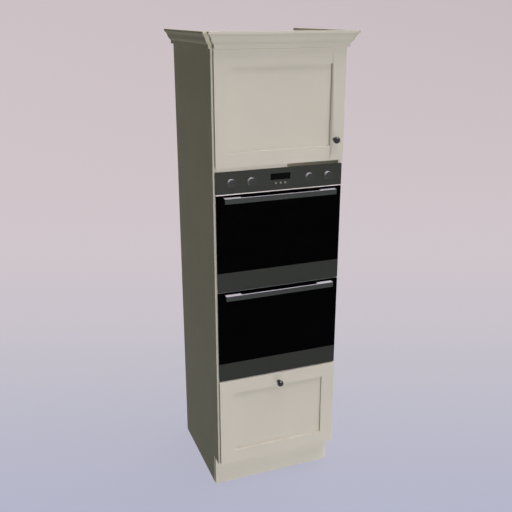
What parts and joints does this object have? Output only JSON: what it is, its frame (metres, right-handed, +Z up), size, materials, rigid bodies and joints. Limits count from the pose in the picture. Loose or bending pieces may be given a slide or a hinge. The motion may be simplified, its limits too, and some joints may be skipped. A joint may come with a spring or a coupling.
{
  "type": "tall oven housing unit",
  "caption": "Tall kitchen housing with a framed cupboard door, a built-in double oven with drop-down doors, a deep pan drawer, a recessed plinth and a flared cornice.",
  "frame": {"origin": "centre of the bounding box on the floor plane", "axes": "+Z up, +Y from the doors towards the wall behind, +X to the right seen from the front"},
  "size_m": [0.684, 0.6374, 2.141],
  "materials": {
    "front_paint": "satin cream paint",
    "carcass_board": "melamine-faced board",
    "knob_iron": "satin black",
    "zinc_steel": "zinc plated",
    "dark_steel": "dark brushed steel",
    "handle_steel": "dark anodised",
    "black_glass": "black printed glass",
    "inner_glass": "tinted glass",
    "enamel": "vitreous enamel",
    "galvanised": "galvanised sheet",
    "door_pan": "coated sheet",
    "seal_rubber": "matt",
    "chrome_wire": "polished",
    "element_steel": "oxidised",
    "switch_plastic": "matt",
    "dial_metal": "satin",
    "button_metal": "satin"
  },
  "bodies": {
    "housing": {"side_panel_left": "front_paint", "side_panel_right": "front_paint", "top_panel": "carcass_board", "cupboard_floor": "carcass_board", "oven_shelf": "carcass_board", "base_panel": "carcass_board", "back_panels": "carcass_board", "carcass_rails": "carcass_board", "loose_shelf": "carcass_board", "shelf_pins": "zinc_steel", "plinth_board": "front_paint", "angle_brackets": "zinc_steel", "cornice_front": "front_paint", "cornice_returns": "front_paint", "hinge_arms": "zinc_steel", "runner_outer": "zinc_steel", "oven_casing": "galvanised", "upper_cavity": "enamel", "lower_cavity": "enamel", "door_seals": "seal_rubber", "oven_hinge_brackets": "zinc_steel", "wire_shelves": "chrome_wire", "heating_elements": "element_steel", "fan_motors": "zinc_steel", "control_panel": "dark_steel", "display_window": "black_glass", "control_electronics": "switch_plastic"},
    "cupboard_door": {"cupboard_door_stiles": "front_paint", "cupboard_door_rails": "front_paint", "cupboard_door_panel": "front_paint", "cupboard_door_knob": "knob_iron", "hinge_cups": "zinc_steel"},
    "drawer": {"drawer_front_stiles": "front_paint", "drawer_front_rails": "front_paint", "drawer_front_panel": "front_paint", "drawer_knob": "knob_iron", "drawer_sides": "carcass_board", "drawer_back": "carcass_board", "drawer_floor": "carcass_board", "runner_inner": "zinc_steel"},
    "runner_middles": {"runner_middle": "zinc_steel"},
    "upper_oven_door": {"upper_door_glass": "black_glass", "upper_door_band": "dark_steel", "upper_door_frame": "door_pan", "upper_door_handle": "handle_steel", "upper_inner_glass": "inner_glass"},
    "lower_oven_door": {"lower_door_glass": "black_glass", "lower_door_band": "dark_steel", "lower_door_frame": "door_pan", "lower_door_handle": "handle_steel", "lower_inner_glass": "inner_glass"},
    "control_1": {"dial_1": "dial_metal"},
    "control_2": {"dial_2": "dial_metal"},
    "control_3": {"dial_3": "dial_metal"},
    "control_4": {"dial_4": "dial_metal"},
    "push_button_1": {"button_1": "button_metal"},
    "push_button_2": {"button_2": "button_metal"},
    "push_button_3": {"button_3": "button_metal"},
    "upper_oven_fan": {"upper_fan": "zinc_steel"},
    "lower_oven_fan": {"lower_fan": "zinc_steel"}
  },
  "joints": [
    {"name": "cupboard_door_hinge", "type": "hinge", "parent": "housing", "child": "cupboard_door", "pos_m": [-0.2873, -0.26525, 1.836], "axis": [0, 0, -1], "range_deg": [0, 100]},
    {"name": "drawer_slide", "type": "slide", "parent": "housing", "child": "drawer", "axis": [0, -1, 0], "range_m": [0, 0.45]},
    {"name": "runner_slide", "type": "slide", "parent": "housing", "child": "runner_middles", "axis": [0, -1, 0], "range_m": [0, 0.225]},
    {"name": "upper_oven_door_hinge", "type": "hinge", "parent": "housing", "child": "upper_oven_door", "pos_m": [0, -0.26425, 1.0505], "axis": [1, 0, 0], "range_deg": [0, 90]},
    {"name": "lower_oven_door_hinge", "type": "hinge", "parent": "housing", "child": "lower_oven_door", "pos_m": [0, -0.26425, 0.609], "axis": [1, 0, 0], "range_deg": [0, 90]},
    {"name": "control_1_turn", "type": "hinge", "parent": "housing", "child": "control_1", "pos_m": [-0.2245, -0.27125, 1.534], "axis": [0, 1, 0], "range_deg": [0, 270]},
    {"name": "control_2_turn", "type": "hinge", "parent": "housing", "child": "control_2", "pos_m": [-0.1345, -0.27125, 1.534], "axis": [0, 1, 0], "range_deg": [0, 270]},
    {"name": "control_3_turn", "type": "hinge", "parent": "housing", "child": "control_3", "pos_m": [0.1345, -0.27125, 1.534], "axis": [0, 1, 0], "range_deg": [0, 270]},
    {"name": "control_4_turn", "type": "hinge", "parent": "housing", "child": "control_4", "pos_m": [0.2245, -0.27125, 1.534], "axis": [0, 1, 0], "range_deg": [0, 270]},
    {"name": "push_button_1_press", "type": "slide", "parent": "housing", "child": "push_button_1", "axis": [0, 1, 0], "range_m": [0, 0.0015], "stiffness_N_per_m": 500, "springref_m": -0.0005},
    {"name": "push_button_2_press", "type": "slide", "parent": "housing", "child": "push_button_2", "axis": [0, 1, 0], "range_m": [0, 0.0015], "stiffness_N_per_m": 500, "springref_m": -0.0005},
    {"name": "push_button_3_press", "type": "slide", "parent": "housing", "child": "push_button_3", "axis": [0, 1, 0], "range_m": [0, 0.0015], "stiffness_N_per_m": 500, "springref_m": -0.0005},
    {"name": "upper_fan_spin", "type": "hinge", "parent": "housing", "child": "upper_oven_fan", "pos_m": [0, 0.17875, 1.253], "axis": [0, 1, 0], "continuous": true},
    {"name": "lower_fan_spin", "type": "hinge", "parent": "housing", "child": "lower_oven_fan", "pos_m": [0, 0.17875, 0.8115], "axis": [0, 1, 0], "continuous": true}
  ],
  "couplings": [
    {"joint": "runner_slide", "follows": "drawer_slide", "ratio": 0.5}
  ]
}
